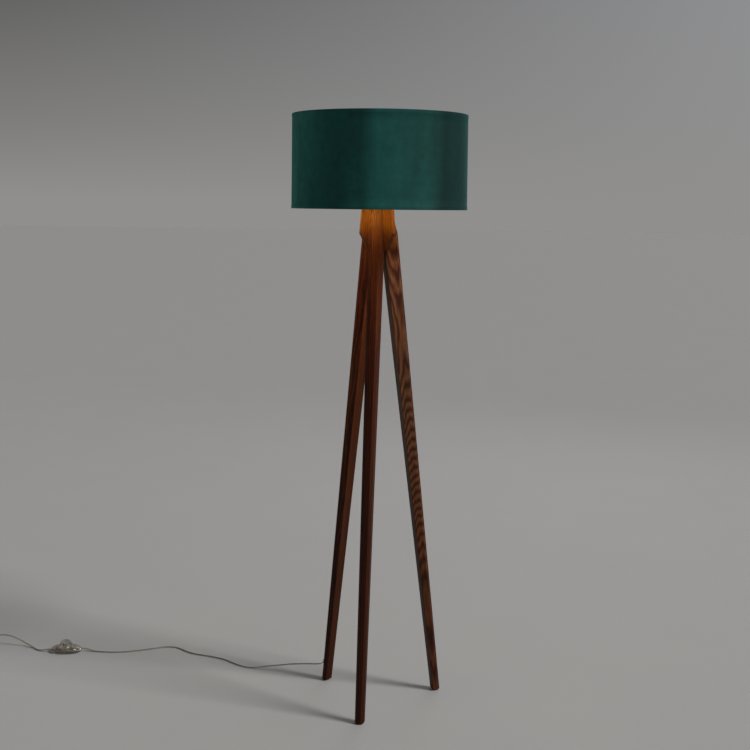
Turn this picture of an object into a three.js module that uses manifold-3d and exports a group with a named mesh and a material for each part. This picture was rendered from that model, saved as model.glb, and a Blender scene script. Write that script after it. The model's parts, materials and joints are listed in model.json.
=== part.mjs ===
// Tripod floor lamp: three tapered wooden legs let into a faceted wooden hub,
// a drum shade on an E27 holder, and a clear flex with an in-line foot switch.
// Millimetres, +Z up, origin on the floor under the shade's axis.
// +X is to the right and +Y is away from someone standing in front of it.
import * as THREE from 'three';
import { mergeVertices } from 'three/addons/utils/BufferGeometryUtils.js';
import Module from 'manifold-3d';

const wasm = await Module();
wasm.setup();

// ---------------------------------------------------------------- dimensions
const GAP = 0.3;                 // clearance kept between touching pieces

const LEG_AZ = { front: -11.6, right: 108.4, left: -131.6 };   // degrees from -Y towards +X
const FOOT_R = 184;              // outer face of a leg at the floor
const LEG_LEAN = -0.1121;        // mm inwards per mm of height
const LEG_W0 = 23, LEG_WK = 0.0098;    // tangential width and its growth
const LEG_D0 = 20.5, LEG_DK = 0.0172;    // radial depth and its growth
const LEG_CHAMFER = 6.8;         // outer arrises
const LEG_IN = 13;               // inner face stops here near the hub
const LEG_Z0 = 4;                // underside of the wood
const EQ_Z = 1217;               // widest level of the hub
const HEAD_LEAN = 0.27;          // leg head leans in above that level
const HEAD_TOP = 1284;

const HUB_Z0 = 1172, HUB_Z1 = 1296;
const HUB_SECT = [[1172, 18, 29], [1217, 31, 51.5], [1296, 26.6, 45.2]];  // z, long-face apothem, short-face apothem
const HUB_BORE = 5.3, HUB_CBORE = 10.5, CBORE_TOP = 1250;

const CORD_D = 5.2;              // mains flex
const BORE_R = 4.2;              // channel down the left leg
const BORE_TOP = [24, 1200], BORE_K = 0.1243;   // radial position at z, growth per mm down

const SHADE_R = 225, SHADE_Z0 = 1279, SHADE_Z1 = 1519;
const COVER_T = 0.9, LINER_T = 0.8;
const RING_R = 220.3, WIRE_R = 2.0;
const FIT_Z = 1333.3;            // seat of the shade's centre ring

// ------------------------------------------------------------------- helpers
const rad = (d) => d * Math.PI / 180;
function place(rho, az, t = 0) {
  const a = rad(az);
  return [rho * Math.sin(a) + t * Math.cos(a), -rho * Math.cos(a) + t * Math.sin(a)];
}
function clean(geom) {
  const g = geom.clone();
  g.deleteAttribute('normal');
  g.deleteAttribute('uv');
  return mergeVertices(g, 1e-4);
}
function solid(geom) {
  const g = clean(geom);
  return new wasm.Manifold(new wasm.Mesh({
    numProp: 3,
    vertProperties: new Float32Array(g.attributes.position.array),
    triVerts: new Uint32Array(g.index.array),
  }));
}
function geometry(man) {
  const m = man.getMesh();
  const g = new THREE.BufferGeometry();
  const n = m.vertProperties.length / m.numProp;
  const p = new Float32Array(n * 3);
  for (let i = 0; i < n; i++) for (let k = 0; k < 3; k++) p[3 * i + k] = m.vertProperties[m.numProp * i + k];
  g.setAttribute('position', new THREE.BufferAttribute(p, 3));
  g.setIndex(new THREE.BufferAttribute(new Uint32Array(m.triVerts), 1));
  return g;
}
// Prism whose n-gon section changes with height: sections = [{z, pts:[[x,y],...]}, ...]
function loft(sections) {
  const n = sections[0].pts.length, steps = sections.length - 1;
  const ring = [];
  for (let i = 0; i < n; i++) {
    const a = 2 * Math.PI * i / n;
    ring.push(new THREE.Vector2(Math.cos(a), Math.sin(a)));
  }
  const g = new THREE.ExtrudeGeometry(new THREE.Shape(ring), { depth: steps, steps, bevelEnabled: false });
  const p = g.attributes.position;
  for (let i = 0; i < p.count; i++) {
    const a = Math.atan2(p.getY(i), p.getX(i));
    const k = ((Math.round(a * n / (2 * Math.PI)) % n) + n) % n;
    const s = sections[Math.round(p.getZ(i))];
    p.setXYZ(i, s.pts[k][0], s.pts[k][1], s.z);
  }
  return g;
}
function cyl(r, z0, z1, x = 0, y = 0, n = 24, turn = 0) {
  const g = new THREE.CylinderGeometry(r, r, z1 - z0, n);
  g.rotateX(Math.PI / 2);
  g.rotateZ(turn);
  g.translate(x, y, (z0 + z1) / 2);
  return g;
}
// cylinder between two points
function rod(a, b, r, n = 12) {
  const A = new THREE.Vector3(...a), B = new THREE.Vector3(...b);
  const d = B.clone().sub(A);
  const g = new THREE.CylinderGeometry(r, r, d.length(), n);
  g.applyQuaternion(new THREE.Quaternion().setFromUnitVectors(new THREE.Vector3(0, 1, 0), d.clone().normalize()));
  const c = A.add(B).multiplyScalar(0.5);
  g.translate(c.x, c.y, c.z);
  return g;
}
function box(sx, sy, sz, x, y, z, turn = 0) {
  const g = new THREE.BoxGeometry(sx, sy, sz);
  g.rotateZ(turn);
  g.translate(x, y, z);
  return g;
}
// closed profile [[r, z], ...] turned about Z
function lathe(profile, n = 32) {
  const pts = profile.map(([r, z]) => new THREE.Vector2(Math.max(r, 0), z));
  const first = profile[0], last = profile[profile.length - 1];
  if (first[0] !== last[0] || first[1] !== last[1]) {
    if (!(first[0] === 0 && last[0] === 0)) pts.push(new THREE.Vector2(first[0], first[1]));
  }
  const g = new THREE.LatheGeometry(pts, n);
  g.rotateX(Math.PI / 2);
  return g;
}
// path through given points, kept exactly as given
class PointPath extends THREE.Curve {
  constructor(pts) { super(); this.pts = pts.map((p) => new THREE.Vector3(...p)); }
  getPoint(t, out = new THREE.Vector3()) {
    const n = this.pts.length - 1, x = Math.min(Math.max(t * n, 0), n), i = Math.min(Math.floor(x), n - 1);
    return out.copy(this.pts[i]).lerp(this.pts[i + 1], x - i);
  }
  getPointAt(u, out) { return this.getPoint(u, out); }
  getTangentAt(u, out = new THREE.Vector3()) {
    const n = this.pts.length - 1, i = Math.round(u * n);
    const a = this.pts[Math.max(i - 1, 0)], b = this.pts[i], c = this.pts[Math.min(i + 1, n)];
    const d1 = b.clone().sub(a), d2 = c.clone().sub(b);
    if (d1.length() > 1e-6) d1.normalize();
    if (d2.length() > 1e-6) d2.normalize();
    return out.copy(d1.add(d2)).normalize();
  }
  getTangent(t, out) { return this.getTangentAt(t, out); }
  getSpacedPoints(n) { const r = []; for (let i = 0; i <= n; i++) r.push(this.getPoint(i / n)); return r; }
}
function tube(pts, r, n = 10) {
  const ring = [];
  for (let i = 0; i < n; i++) {
    const a = 2 * Math.PI * (i + 0.5) / n;
    ring.push(new THREE.Vector2(r * Math.cos(a), r * Math.sin(a)));
  }
  return new THREE.ExtrudeGeometry(new THREE.Shape(ring), { steps: pts.length - 1, extrudePath: new PointPath(pts), bevelEnabled: false });
}
// smooth curve through points, resampled evenly
function smooth(pts, n) {
  const c = new THREE.CatmullRomCurve3(pts.map((p) => new THREE.Vector3(...p)), false, 'centripetal');
  c.arcLengthDivisions = 600;
  return c.getSpacedPoints(n).map((v) => [v.x, v.y, v.z]);
}
function hexPrism(af, z0, z1, x = 0, y = 0, turn = 0) {
  return cyl(af / Math.sqrt(3), z0, z1, x, y, 6, turn);
}

const root = new THREE.Group();
root.name = 'tripod_floor_lamp';
function add(name, geom, colour, roughness, metalness = 0, extra = {}) {
  const g = mergeVertices(clean(geom), 1e-4);
  g.computeVertexNormals();
  const m = new THREE.Mesh(g, new THREE.MeshStandardMaterial({ color: colour, roughness, metalness, flatShading: true, ...extra }));
  m.name = name;
  root.add(m);
  return m;
}

const WOOD = 0x4a2a1c, WOOD_R = 0.55;
const STEEL = 0xb9bcc0, BRASS = 0xc39a4a;
const BLACK = 0x1d1d1f, CLEAR = 0xcfc9b8;

// ---------------------------------------------------------------------- legs
const legOuter = (z) => z <= EQ_Z ? FOOT_R + LEG_LEAN * z
  : FOOT_R + LEG_LEAN * EQ_Z - HEAD_LEAN * (z - EQ_Z);
const legDepth = (z) => LEG_D0 + LEG_DK * z;
const legWidth = (z) => LEG_W0 + LEG_WK * z;
const boreRho = (z) => BORE_TOP[0] + BORE_K * (BORE_TOP[1] - z);

function legSection(z, az, grow = 0) {
  const ro = legOuter(z) + grow;
  const ri = Math.max(legOuter(z) - legDepth(z), LEG_IN) - grow;
  const w = legWidth(z) / 2 + grow;
  const c = Math.min(LEG_CHAMFER, (ro - ri) * 0.4);
  const pts = [[ro, -(w - c)], [ro, w - c], [ro - c, w], [ri, w], [ri, -w], [ro - c, -w]];
  return { z, pts: pts.map(([r, t]) => place(r, az, t)) };
}
const Z_CLIP = (FOOT_R - LEG_D0 - LEG_IN) / (LEG_DK - LEG_LEAN);
function legBody(az, z0, z1, grow = 0) {
  const levels = [z0];
  for (const z of [Z_CLIP, EQ_Z]) if (z > z0 && z < z1) levels.push(z);
  levels.push(z1);
  return loft(levels.map((z) => legSection(z, az, grow)));
}
const legs = {};
for (const [side, az] of Object.entries(LEG_AZ)) {
  let body = solid(legBody(az, LEG_Z0, HEAD_TOP));
  // pilot hole of the glide's pin
  const rc = legOuter(0) - legDepth(0) / 2;
  const [gx, gy] = place(rc, az);
  body = body.subtract(solid(cyl(1.6, LEG_Z0 - 5, LEG_Z0 + 14, gx, gy, 10)));
  // pilot hole of the screw from the hub's top
  const [sx, sy] = place(20.5, az);
  body = body.subtract(solid(cyl(2.4, 1247, HEAD_TOP + 5, sx, sy, 12)));
  if (side === 'left') {
    const at = (rho, z) => [...place(rho, az), z];
    const channel = solid(rod(at(boreRho(1190), 1190), at(boreRho(48), 48), BORE_R, 12));
    const cross = solid(rod(at(-2, 1207), at(31, 1174), 5.9, 14));
    const out = solid(rod(at(162.5, 60.6), at(197.3, 34), 5.2, 14));
    body = body.subtract(channel).subtract(cross).subtract(out);
  }
  legs[side] = body;
  add(`leg_${side}`, geometry(body), WOOD, WOOD_R);

  // nail-in glide under the foot
  const glide = lathe([[0, 0.0], [7.2, 0.0], [8.2, 1.0], [8.2, LEG_Z0 - GAP], [1.2, LEG_Z0 - GAP], [1.2, LEG_Z0 + 11], [0, LEG_Z0 + 12.5]], 14);
  glide.translate(gx, gy, 0);
  add(`glide_${side}`, glide, BLACK, 0.9);

  // countersunk wood screw from the hub's top into the leg's head
  const screw = lathe([[0, 1250], [1.0, 1252], [2.0, 1256], [2.0, 1291.4], [4.4, 1295.4], [0.0, 1295.4]], 16);
  screw.translate(sx, sy, 0);
  let s = solid(screw);
  s = s.subtract(solid(box(5.2, 1.1, 2.4, sx, sy, 1295.6, rad(az + 20))));
  s = s.subtract(solid(box(5.2, 1.1, 2.4, sx, sy, 1295.6, rad(az + 110))));
  add(`leg_screw_${side}`, geometry(s), STEEL, 0.35, 0.9);
}

// ----------------------------------------------------------------------- hub
function hubSection(z, al, as) {
  const v = (2 * as - al) / Math.sqrt(3);       // half-width of a long face
  const pts = [];
  for (const az of [LEG_AZ.front, LEG_AZ.right, LEG_AZ.left]) {
    pts.push(place(al, az, -v), place(al, az, v));
  }
  return { z, pts };
}
let hub = solid(loft(HUB_SECT.map(([z, al, as]) => hubSection(z, al, as))));
for (const az of Object.values(LEG_AZ)) {
  hub = hub.subtract(solid(legBody(az, HUB_Z0 - 60, HEAD_TOP + GAP, GAP)));
  const [sx, sy] = place(20.5, az);
  hub = hub.subtract(solid(cyl(2.4, HEAD_TOP - 4, 1300, sx, sy, 12)));
  const sink = lathe([[0, 1290.9], [2.4, 1290.9], [5.2, 1296.6], [5.2, 1298], [0, 1298]], 16);
  sink.translate(sx, sy, 0);
  hub = hub.subtract(solid(sink));
}
hub = hub.subtract(solid(cyl(HUB_BORE, HUB_Z0 - 5, HUB_Z1 + 5, 0, 0, 16)));
hub = hub.subtract(solid(cyl(HUB_CBORE, HUB_Z0 - 5, CBORE_TOP, 0, 0, 20)));
{
  const at = (rho, z) => [...place(rho, LEG_AZ.left), z];
  hub = hub.subtract(solid(rod(at(-2, 1207), at(24, 1181), 5.0, 12)));
}
add('hub', geometry(hub), WOOD, WOOD_R);

// ------------------------------------------------- nipple, washers and nuts
function drill(geom, r, n = 16) { return solid(geom).subtract(solid(cyl(r, 0, 2000, 0, 0, n))); }
add('threaded_tube', lathe([[3.9, 1236], [5.0, 1236], [5.0, 1311], [3.9, 1311]], 16), STEEL, 0.35, 0.9);
add('hub_washer_lower', lathe([[HUB_BORE, CBORE_TOP - 2.3], [9.5, CBORE_TOP - 2.3], [9.5, CBORE_TOP - GAP], [HUB_BORE, CBORE_TOP - GAP]], 16), STEEL, 0.4, 0.9);
add('hub_nut_lower', geometry(drill(hexPrism(15, CBORE_TOP - 8, CBORE_TOP - 2.6), HUB_BORE)), STEEL, 0.4, 0.9);
add('hub_washer_upper', lathe([[HUB_BORE, HUB_Z1 + GAP], [14.5, HUB_Z1 + GAP], [14.5, HUB_Z1 + 2], [HUB_BORE, HUB_Z1 + 2]], 20), STEEL, 0.4, 0.9);
add('hub_nut_upper', geometry(drill(hexPrism(15, HUB_Z1 + 2.3, HUB_Z1 + 7.3), HUB_BORE)), STEEL, 0.4, 0.9);

// ---------------------------------------------------------------- lampholder
const CAP_Z = HUB_Z1 + 7.6;      // 1303.6
add('holder_cap', lathe([[HUB_BORE, CAP_Z], [9.5, CAP_Z], [13, CAP_Z + 2.5], [19.2, CAP_Z + 12], [19.2, CAP_Z + 17.4], [16.4, CAP_Z + 17.4], [16.4, CAP_Z + 11], [HUB_BORE, CAP_Z + 11]], 24), BLACK, 0.45);
const INS_Z = CAP_Z + 12;        // insert's underside
{
  // insulating insert with the centre contact's seat
  const ins = lathe([[0, INS_Z], [12.5, INS_Z], [12.5, INS_Z + 6], [0, INS_Z + 6]], 24);
  add('holder_insert', ins, 0xe9e4d8, 0.5);
}
const BODY_Z = CAP_Z + 17.7;     // 1321.3
add('holder_body', lathe([
  [15.2, BODY_Z + GAP], [19.2, BODY_Z + GAP], [19.6, BODY_Z + 1], [19.6, BODY_Z + 8], [24.2, BODY_Z + 8.7], [24.2, FIT_Z - GAP],
  [19.6, FIT_Z - GAP], [19.6, BODY_Z + 40], [18.8, BODY_Z + 41], [15.2, BODY_Z + 41]], 28), BLACK, 0.45);
add('holder_screw_shell', lathe([[13.9, INS_Z + 7.4], [14.7, INS_Z + 7.4], [14.7, BODY_Z + 36], [13.9, BODY_Z + 36]], 24), BRASS, 0.35, 0.9);
add('holder_contact', box(9, 4, 1.6, 0, 0, INS_Z + 7.3), BRASS, 0.35, 0.9);

// ---------------------------------------------------------------------- bulb
const BULB_Z = INS_Z + 8.6;      // tip of the bulb's centre contact
add('bulb_cap', lathe([[0, BULB_Z], [4.6, BULB_Z], [5.6, BULB_Z + 1.6], [11.6, BULB_Z + 4.6], [13.1, BULB_Z + 6], [13.1, BULB_Z + 25], [12.6, BULB_Z + 27], [0, BULB_Z + 27]], 20), STEEL, 0.35, 0.9);
{
  const z = BULB_Z + 27.3;
  const prof = [[0, z], [12.8, z], [13.0, z + 8], [14.0, z + 12], [16.8, z + 18], [21.5, z + 26], [26.4, z + 35], [29.2, z + 45], [30, z + 53], [29, z + 61.5], [25.6, z + 70], [20, z + 77], [12.4, z + 81.6], [5, z + 83.6], [0, z + 84]];
  add('bulb_glass', lathe(prof, 20), 0xfff1cf, 0.15);
}

// --------------------------------------------------------------------- shade
add('shade_cover', lathe([[SHADE_R - COVER_T, SHADE_Z0], [SHADE_R, SHADE_Z0], [SHADE_R, SHADE_Z1], [SHADE_R - COVER_T, SHADE_Z1]], 64), 0x1f4a47, 0.9);
const LIN_R = SHADE_R - COVER_T - GAP;
add('shade_liner', lathe([[LIN_R - LINER_T, SHADE_Z0 + 0.5], [LIN_R, SHADE_Z0 + 0.5], [LIN_R, SHADE_Z1 - 0.5], [LIN_R - LINER_T, SHADE_Z1 - 0.5]], 64), 0xf0ead8, 0.6);
function wireRing(R, z, r, n = 48) {
  const p = [];
  for (let i = 0; i < 6; i++) { const a = Math.PI * 2 * (i + 0.5) / 6; p.push([R + r * Math.cos(a), z + r * Math.sin(a)]); }
  return lathe(p, n);
}
add('shade_ring_top', wireRing(RING_R, SHADE_Z1 - 3.0, WIRE_R), 0xe8e6e0, 0.45, 0.2);
{
  let sp = solid(wireRing(RING_R, SHADE_Z0 + 3.0, WIRE_R));
  sp = sp.add(solid(lathe([[20.2, FIT_Z], [26.5, FIT_Z], [26.5, FIT_Z + 2.2], [20.2, FIT_Z + 2.2]], 28)));
  for (const az of [48, 168, 288]) {
    const a = [...place(25.6, az), FIT_Z + 1.1];
    const k = [...place(60, az), FIT_Z - 4];
    const b = [...place(RING_R - 0.6, az), SHADE_Z0 + 3.0];
    sp = sp.add(solid(rod(a, k, 1.7, 10))).add(solid(rod(k, b, 1.7, 10)));
    const s = new THREE.SphereGeometry(1.72, 10, 8); s.translate(...k);
    sp = sp.add(solid(s));
  }
  add('shade_spider', geometry(sp), 0xe8e6e0, 0.45, 0.2);
}
{
  const z = FIT_Z + 2.5;
  let r = solid(lathe([[20.0, z], [25.8, z], [25.8, z + 6.5], [24.8, z + 7.5], [20.0, z + 7.5]], 24));
  for (let i = 0; i < 12; i++) {
    const a = 2 * Math.PI * i / 12;
    r = r.subtract(solid(cyl(1.5, z - 1, z + 9, 26.4 * Math.cos(a), 26.4 * Math.sin(a), 8)));
  }
  add('shade_clamp_ring', geometry(r), BLACK, 0.45);
}

// -------------------------------------------------- lead held inside the lamp
const LAZ = LEG_AZ.left;
const inLeg = (rho, z) => [...place(rho, LAZ), z];
{
  const pts = [];
  pts.push([0, 0, INS_Z - GAP], [0, 0, 1212]);
  // down the hub's centre, through the cross hole, into the leg's channel
  for (const [r, z] of [[0.6, 1206], [3.4, 1201], [8, 1196.6], [14, 1190.8], [19.5, 1185], [24, 1178.8], [26.6, 1171.5], [boreRho(1160), 1160]]) pts.push(inLeg(r, z));
  for (const z of [900, 600, 300, 84]) pts.push(inLeg(boreRho(z), z));
  for (const [r, z] of [[164.1, 72], [164.9, 64.5], [167.5, 57.6], [171.3, 53.8], [175.3, 50.7], [179.9, 47.3]]) pts.push(inLeg(r, z));
  add('internal_lead', tube(pts, CORD_D / 2, 8), CLEAR, 0.2);
}
// where the lead leaves the leg's outer face
const EX = { rho: 179.9, z: 47.3 };
// direction in which the lead leaves
const exd = new THREE.Vector3(...place(1, LAZ), -0.74).normalize();
const exp0 = new THREE.Vector3(...inLeg(EX.rho, EX.z));
const off = (d) => { const v = exp0.clone().addScaledVector(exd, d); return [v.x, v.y, v.z]; };
// ------------------------------------------------------ free cord and switch
const PL_Y = 391.5;
const SW = { x: -884, y: 300, yaw: 5 };
const swp = (lx, ly, z) => {
  const a = rad(SW.yaw);
  return [SW.x + lx * Math.cos(a) - ly * Math.sin(a), SW.y + lx * Math.sin(a) + ly * Math.cos(a), z];
};
const FZ = CORD_D / 2 + 0.15;
const CORD1 = [off(0.5), off(5), off(10), [-149, 129.2, 37.2], [-185, 143, 31.4], [-229, 155, 25.4], [-257, 163, 20], [-300, 176, 11], [-328, 184, 4.6], [-350, 190, FZ], [-373, 202, FZ], [-397, 223, FZ], [-420, 245, FZ], [-446, 261, FZ], [-480, 275, FZ], [-514, 289, FZ], [-538, 306, FZ], [-558, 325, FZ], [-574, 336.5, FZ], [-592, 341, FZ], [-610, 338, FZ], [-633, 327.5, FZ], [-658, 317, FZ], [-684, 307, FZ], [-713, 298, FZ], [-746, 294, FZ], [-780, 296, FZ], [-806, 300, 3.6], swp(56, 0.4, 7.0), swp(43 + GAP, 0, 7.5)];
add('cord_1', tube(smooth(CORD1, 34), CORD_D / 2, 8), CLEAR, 0.2);
const COIL = { x: -1176, y: 352, r: 28, w: 10.4, h: 13 };
{
  // the run arches a little and ends on the coil's side
  const er = COIL.r + COIL.w / 2 + GAP, ang = rad(-16);
  const at = (d, k = 0) => [COIL.x + (er + d) * Math.cos(ang), COIL.y + (er + d) * Math.sin(ang) + k];
  const pts = [swp(-43 - GAP, 0, 7.5), swp(-56, 0, 7.0), [-954, 299.5, 3.4], [-969, 308, FZ], [-986, 324, 3.6], [-1008, 335, 10], [-1030, 339, 20], [-1052, 341, 28], [-1076, 341.5, 31], [-1100, 341.5, 26], [...at(15), 14.5], [...at(6), 10.6], [...at(1.2), 8.8]];
  add('cord_2', tube(smooth(pts, 16), CORD_D / 2, 8), CLEAR, 0.2);
}
{
  const h = COIL.h, w = COIL.w, c = 2.2;
  const g = lathe([[COIL.r - w / 2 + c, 0.15], [COIL.r + w / 2 - c, 0.15], [COIL.r + w / 2, c + 0.15], [COIL.r + w / 2, h - c], [COIL.r + w / 2 - c, h], [COIL.r - w / 2 + c, h], [COIL.r - w / 2, h - c], [COIL.r - w / 2, c + 0.15]], 24);
  g.translate(COIL.x, COIL.y, 0);
  add('cord_coil', g, CLEAR, 0.25);
  // last piece of flex, from the coil to the plug
  const er = COIL.r + w / 2 + GAP + 3.2, a0 = rad(62);
  const p0 = [COIL.x + er * Math.cos(a0), COIL.y + er * Math.sin(a0), 6.5];
  add('cord_3', tube(smooth([p0, [p0[0] - 11, p0[1] + 7.5, 6.6], [p0[0] - 22, p0[1] + 9.7, 6.8], [-1189, PL_Y, 7], [-1194.3, PL_Y, 7]], 5), CORD_D / 2, 8), CLEAR, 0.2);
}
// foot switch: oval base and domed cover, round button
function oval(a, b, n) {
  const pts = [];
  for (let i = 0; i < n; i++) {
    const t = 2 * Math.PI * i / n;
    const c = Math.cos(t), s = Math.sin(t);
    pts.push([a * Math.sign(c) * Math.abs(c) ** 0.82, b * Math.sign(s) * Math.abs(s) ** 0.9]);
  }
  return pts;
}
const OV = 24;
const ovalSection = (a, b, z) => ({ z, pts: oval(a, b, OV).map(([x, y]) => swp(x, y, z).slice(0, 2)) });
const swRod = (x0, x1, z, r) => solid(rod(swp(x0, 0, z), swp(x1, 0, z), r, 12));
{
  let base = solid(loft([ovalSection(41, 24, 0.4), ovalSection(43, 26, 2.2), ovalSection(43, 26, 7.35)]));
  base = base.subtract(solid(loft([ovalSection(38.5, 22, 2.6), ovalSection(38.5, 22, 9)])));
  base = base.subtract(swRod(-60, 60, 7.5, CORD_D / 2 + GAP));
  // posts for the two screws
  for (const s of [-1, 1]) {
    const [px, py] = swp(22 * s, 14 * s, 0);
    base = base.add(solid(cyl(3.2, 2.0, 7.35, px, py, 12)).subtract(solid(cyl(1.5, 3.4, 12, px, py, 10))));
  }
  add('switch_base', geometry(base), CLEAR, 0.2);
  let cover = solid(loft([ovalSection(43, 26, 7.65), ovalSection(43, 26, 9), ovalSection(40.5, 24, 12.5), ovalSection(34, 21, 15.6), ovalSection(24.5, 19.6, 18.2), ovalSection(21, 19, 20.4)]));
  cover = cover.subtract(solid(loft([ovalSection(39.5, 22.8, 5), ovalSection(39.5, 22.8, 8.6), ovalSection(37.6, 21.6, 11.2), ovalSection(31.5, 18.9, 13.6), ovalSection(21.8, 17.9, 16.2), ovalSection(19.4, 17.6, 18.2)])));
  const [bx, by] = swp(0, 0, 0);
  cover = cover.subtract(solid(cyl(16.2, 14, 30, bx, by, 24)));
  cover = cover.subtract(swRod(-60, 60, 7.5, CORD_D / 2 + GAP));
  for (const s of [-1, 1]) {
    const [px, py] = swp(22 * s, 14 * s, 0);
    cover = cover.subtract(solid(cyl(1.8, 5, 24, px, py, 12)));
    cover = cover.subtract(solid(cyl(3.3, 13.4, 24, px, py, 14)));
  }
  add('switch_cover', geometry(cover), CLEAR, 0.2);
  // button with a flange under the cover
  const bt = lathe([[0, 13.4], [17.2, 13.4], [17.2, 15.2], [15.8, 15.2], [15.8, 25.5], [14.6, 28.6], [11.6, 31.2], [7, 33.0], [0, 33.8]], 24);
  bt.translate(bx, by, 0);
  let b = solid(bt).subtract(solid(cyl(6.2, 12, 24, bx, by, 20)));
  add('switch_button', geometry(b), CLEAR, 0.2);
  // return spring, drawn as a plain sleeve
  const spg = lathe([[4.6, 8.6], [5.6, 8.6], [5.6, 23.4], [4.6, 23.4]], 14);
  spg.translate(bx, by, 0);
  add('switch_spring', spg, STEEL, 0.35, 0.9);
  add('switch_contact_block', box(22, 15, 5.2, bx, by, 5.5, rad(SW.yaw)), 0xe9e4d8, 0.5);
  for (const s of [-1, 1]) {
    const [px, py] = swp(16 * s, 0, 0);
    add(s < 0 ? 'switch_terminal_out' : 'switch_terminal_in', box(8.4, 6, 4.6, px, py, 5.2, rad(SW.yaw)), BRASS, 0.35, 0.9);
    const [qx, qy] = swp(22 * s, 14 * s, 0);
    const sc = lathe([[0, 4.2], [1.15, 4.6], [1.15, 13.7], [2.9, 13.7], [2.9, 15.2], [0, 15.4]], 14);
    sc.translate(qx, qy, 0);
    const cut = solid(box(3.6, 0.8, 1.4, qx, qy, 15.3, rad(30 * s)));
    add(s < 0 ? 'switch_screw_a' : 'switch_screw_b', geometry(solid(sc).subtract(cut)), STEEL, 0.35, 0.9);
  }
}
// plug resting beside the coil
const PL = { x: -1195 - 42.3, y: PL_Y, yaw: 180 };
const plp = (lx, ly, z) => {
  const a = rad(PL.yaw);
  return [PL.x + lx * Math.cos(a) - ly * Math.sin(a), PL.y + lx * Math.sin(a) + ly * Math.cos(a), z];
};
{
  // local +X points out of the pins' face; cable enters at the other end
  const sect = (x, hy, z0, z1, c) => {
    const q = [[-hy, z0 + c], [-hy + c, z0], [hy - c, z0], [hy, z0 + c], [hy, z1 - c], [hy - c, z1], [-hy + c, z1], [-hy, z1 - c]];
    return { x, q };
  };
  const prism = (list) => {
    const g = loft(list.map((s, i) => ({ z: i, pts: s.q.map(([y, z]) => [y, z]) })));
    const p = g.attributes.position;
    for (let i = 0; i < p.count; i++) {
      const s = list[Math.round(p.getZ(i))];
      const w = plp(s.x, p.getX(i), p.getY(i));
      p.setXYZ(i, w[0], w[1], w[2]);
    }
    return g;
  };
  let body = solid(prism([sect(-18, 9, 1.2, 12.8, 3), sect(-8, 13, 0.4, 13.6, 3), sect(8, 17.5, 0.4, 13.6, 3), sect(17, 17.5, 0.4, 13.6, 3)]));
  for (const s of [-1, 1]) body = body.subtract(solid(rod(plp(4, 9.5 * s, 7), plp(30, 9.5 * s, 7), 2.3, 12)));
  add('plug_body', geometry(body), CLEAR, 0.2);
  for (const s of [-1, 1]) {
    const pin = rod(plp(4 + GAP, 9.5 * s, 7), plp(36, 9.5 * s, 7), 2.0, 14);
    add(s < 0 ? 'plug_pin_a' : 'plug_pin_b', pin, BRASS, 0.3, 0.9);
  }
  const rel = new THREE.CylinderGeometry(2.9, 4.6, 24, 14);
  rel.rotateZ(Math.PI / 2);
  rel.translate(-18 - GAP - 12, 0, 0);
  const p = rel.attributes.position;
  for (let i = 0; i < p.count; i++) {
    const w = plp(p.getX(i), p.getY(i), 7 + p.getZ(i) - 0);
    p.setXYZ(i, w[0], w[1], w[2]);
  }
  add('plug_strain_relief', rel, CLEAR, 0.25);
}
export default root;
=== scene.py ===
import json
import math
import random

import bmesh
import bpy
import numpy as np
from mathutils import Matrix, Vector, noise


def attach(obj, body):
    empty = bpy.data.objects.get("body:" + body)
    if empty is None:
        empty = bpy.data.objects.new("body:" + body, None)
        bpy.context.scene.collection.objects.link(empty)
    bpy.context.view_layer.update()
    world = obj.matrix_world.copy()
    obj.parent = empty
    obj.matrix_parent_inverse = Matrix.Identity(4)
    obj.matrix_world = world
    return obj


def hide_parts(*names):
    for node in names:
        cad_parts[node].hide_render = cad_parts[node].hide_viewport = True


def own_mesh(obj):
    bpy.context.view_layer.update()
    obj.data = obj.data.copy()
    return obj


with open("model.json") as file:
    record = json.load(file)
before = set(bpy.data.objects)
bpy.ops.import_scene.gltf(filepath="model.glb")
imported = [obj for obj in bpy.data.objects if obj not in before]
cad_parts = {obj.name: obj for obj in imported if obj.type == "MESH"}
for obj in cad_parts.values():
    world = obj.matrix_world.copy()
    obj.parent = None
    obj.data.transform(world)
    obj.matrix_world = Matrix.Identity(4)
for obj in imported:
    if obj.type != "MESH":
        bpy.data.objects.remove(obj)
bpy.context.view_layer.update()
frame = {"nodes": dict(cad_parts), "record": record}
NODES = frame["nodes"]
scene = bpy.context.scene
MM = 0.001

# ------------------------------------------------------------------ camera
cam_data = bpy.data.cameras.new("camera")
cam_data.lens = 59.17
cam_data.sensor_width = 36.0
cam_data.shift_x = -0.0002
cam_data.shift_y = -0.13
cam_data.clip_end = 60
cam = bpy.data.objects.new("camera", cam_data)
scene.collection.objects.link(cam)
PITCH = 0.0601
ROLL = math.radians(0.6442)
cam.location = (-0.00837, -3.1679, 1.29386)
look = Vector((0, math.cos(PITCH), -math.sin(PITCH)))
rot = look.to_track_quat("-Z", "Y").to_matrix().to_4x4() @ Matrix.Rotation(ROLL, 4, "Z")
cam.rotation_euler = rot.to_euler()
scene.camera = cam


# ----------------------------------------------------------------- helpers
def link(o):
    scene.collection.objects.link(o)
    return o


def mesh_obj(name, verts, faces, mat=None, smooth=True, fix=True):
    me = bpy.data.meshes.new(name)
    me.from_pydata([tuple(v) for v in verts], [], faces)
    me.update()
    if fix:
        bm = bmesh.new()
        bm.from_mesh(me)
        bmesh.ops.recalc_face_normals(bm, faces=bm.faces)
        bm.to_mesh(me)
        bm.free()
    if mat is not None:
        me.materials.append(mat)
    if smooth:
        me.shade_smooth()
    return link(bpy.data.objects.new(name, me))


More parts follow.
